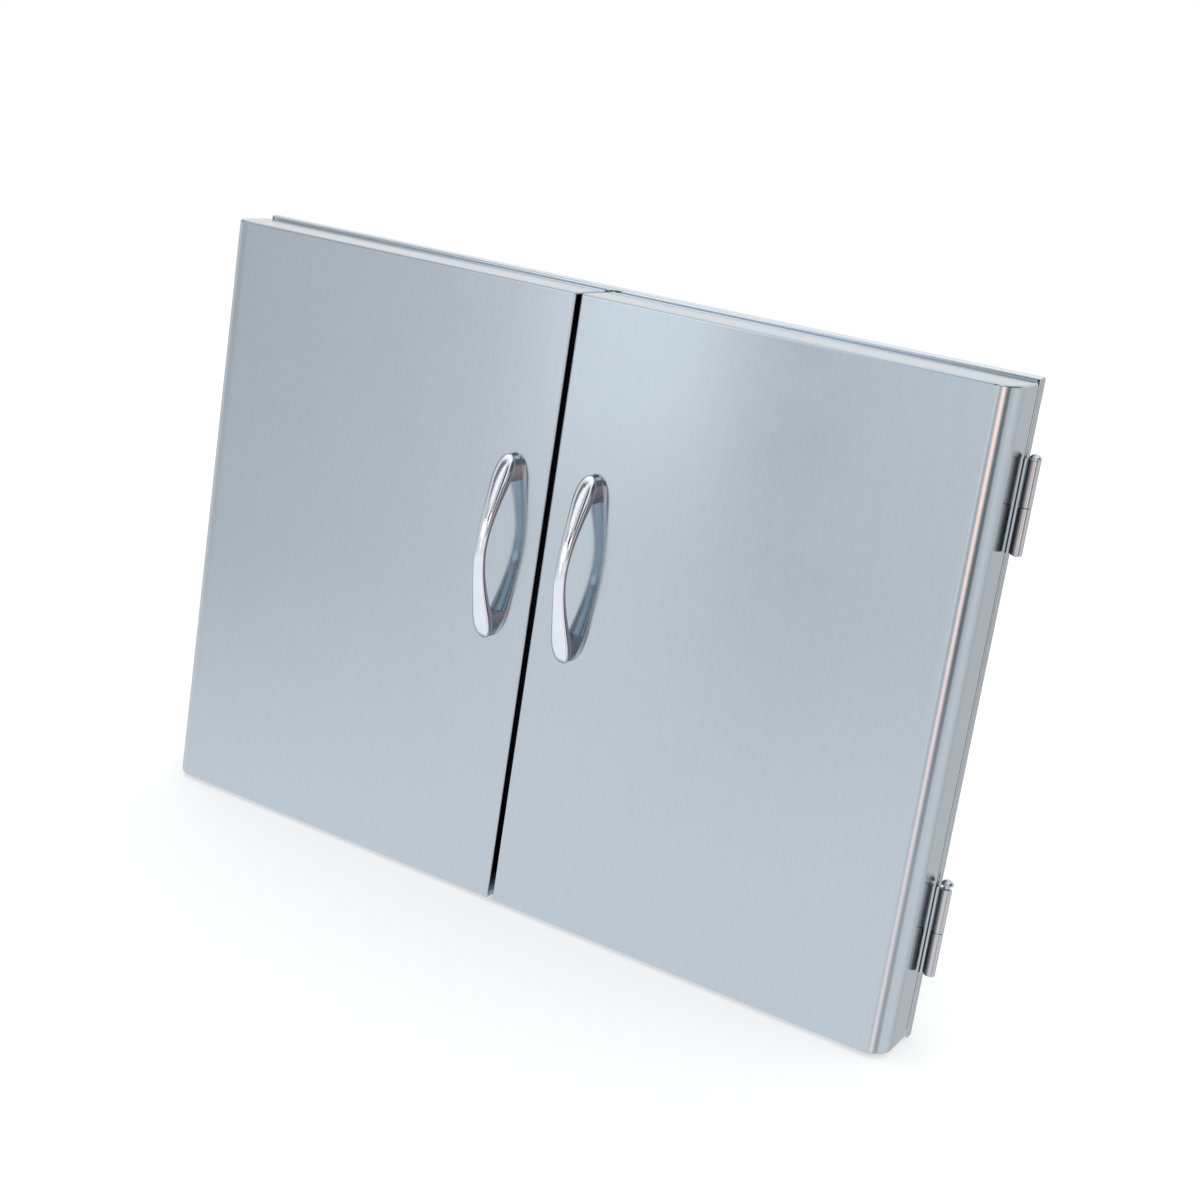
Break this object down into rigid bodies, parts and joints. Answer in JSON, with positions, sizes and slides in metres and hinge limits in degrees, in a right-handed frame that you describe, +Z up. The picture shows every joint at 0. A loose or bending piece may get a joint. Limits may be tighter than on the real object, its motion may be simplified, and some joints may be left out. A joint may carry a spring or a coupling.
{
  "type": "double access door",
  "caption": "Twin stainless doors on lift-off hinges in a flanged frame that drops into a cut-out in an outdoor kitchen island, with chromed bow handles and magnetic catches.",
  "frame": {"origin": "middle of the plane where the trim rests on the island's face, on the centre line between the doors", "axes": "+X along the width to the right as seen from the front, +Y back into the island, +Z up"},
  "size_m": [0.787, 0.1399, 0.5588],
  "materials": {
    "door_steel": "fine vertical grain, satin",
    "frame_steel": "fine grain along each member, satin",
    "liner_steel": "plain satin sheet",
    "hinge_steel": "tumbled, brighter than satin",
    "handle_chrome": "polished",
    "fastener_steel": "turned",
    "catch_plastic": "moulded, fine texture",
    "magnet_ferrite": "matte sintered",
    "strike_steel": "zinc plated",
    "bumper_rubber": "moulded"
  },
  "bodies": {
    "frame": {"frame_top_rail": "frame_steel", "frame_bottom_rail": "frame_steel", "frame_left_stile": "frame_steel", "frame_right_stile": "frame_steel", "left_stile_hinge_rivets": "fastener_steel", "left_catch_housing": "catch_plastic", "left_catch_magnet": "magnet_ferrite", "left_catch_pole_plates": "strike_steel", "left_catch_screws": "fastener_steel", "left_upper_hinge_frame_leaf": "hinge_steel", "left_lower_hinge_frame_leaf": "hinge_steel", "right_stile_hinge_rivets": "fastener_steel", "right_catch_housing": "catch_plastic", "right_catch_magnet": "magnet_ferrite", "right_catch_pole_plates": "strike_steel", "right_catch_screws": "fastener_steel", "right_upper_hinge_frame_leaf": "hinge_steel", "right_lower_hinge_frame_leaf": "hinge_steel"},
    "left_door": {"left_door_shell": "door_steel", "left_door_liner": "liner_steel", "left_liner_rivets": "fastener_steel", "left_handle": "handle_chrome", "left_handle_screws": "fastener_steel", "left_handle_washers": "fastener_steel", "left_door_hinge_rivets": "fastener_steel", "left_strike_plate": "strike_steel", "left_strike_rivets": "fastener_steel", "left_door_bumpers": "bumper_rubber", "left_upper_hinge_door_leaf": "hinge_steel", "left_lower_hinge_door_leaf": "hinge_steel"},
    "right_door": {"right_door_shell": "door_steel", "right_door_liner": "liner_steel", "right_liner_rivets": "fastener_steel", "right_handle": "handle_chrome", "right_handle_screws": "fastener_steel", "right_handle_washers": "fastener_steel", "right_door_hinge_rivets": "fastener_steel", "right_strike_plate": "strike_steel", "right_strike_rivets": "fastener_steel", "right_door_bumpers": "bumper_rubber", "right_upper_hinge_door_leaf": "hinge_steel", "right_lower_hinge_door_leaf": "hinge_steel"},
    "left_upper_hinge_pin": {"left_upper_hinge_pin": "hinge_steel"},
    "left_lower_hinge_pin": {"left_lower_hinge_pin": "hinge_steel"},
    "right_upper_hinge_pin": {"right_upper_hinge_pin": "hinge_steel"},
    "right_lower_hinge_pin": {"right_lower_hinge_pin": "hinge_steel"}
  },
  "joints": [
    {"name": "left_door_swing", "type": "hinge", "parent": "frame", "child": "left_door", "pos_m": [-0.3886, -0.01225, 0], "axis": [0, 0, -1], "range_deg": [0, 115]},
    {"name": "left_upper_hinge_pin_lift", "type": "slide", "parent": "frame", "child": "left_upper_hinge_pin", "axis": [0, 0, 1], "range_m": [0, 0.078]},
    {"name": "left_lower_hinge_pin_lift", "type": "slide", "parent": "frame", "child": "left_lower_hinge_pin", "axis": [0, 0, 1], "range_m": [0, 0.078]},
    {"name": "right_door_swing", "type": "hinge", "parent": "frame", "child": "right_door", "pos_m": [0.3886, -0.01225, 0], "axis": [0, 0, 1], "range_deg": [0, 115]},
    {"name": "right_upper_hinge_pin_lift", "type": "slide", "parent": "frame", "child": "right_upper_hinge_pin", "axis": [0, 0, 1], "range_m": [0, 0.078]},
    {"name": "right_lower_hinge_pin_lift", "type": "slide", "parent": "frame", "child": "right_lower_hinge_pin", "axis": [0, 0, 1], "range_m": [-0.0035, 0.0745]}
  ]
}
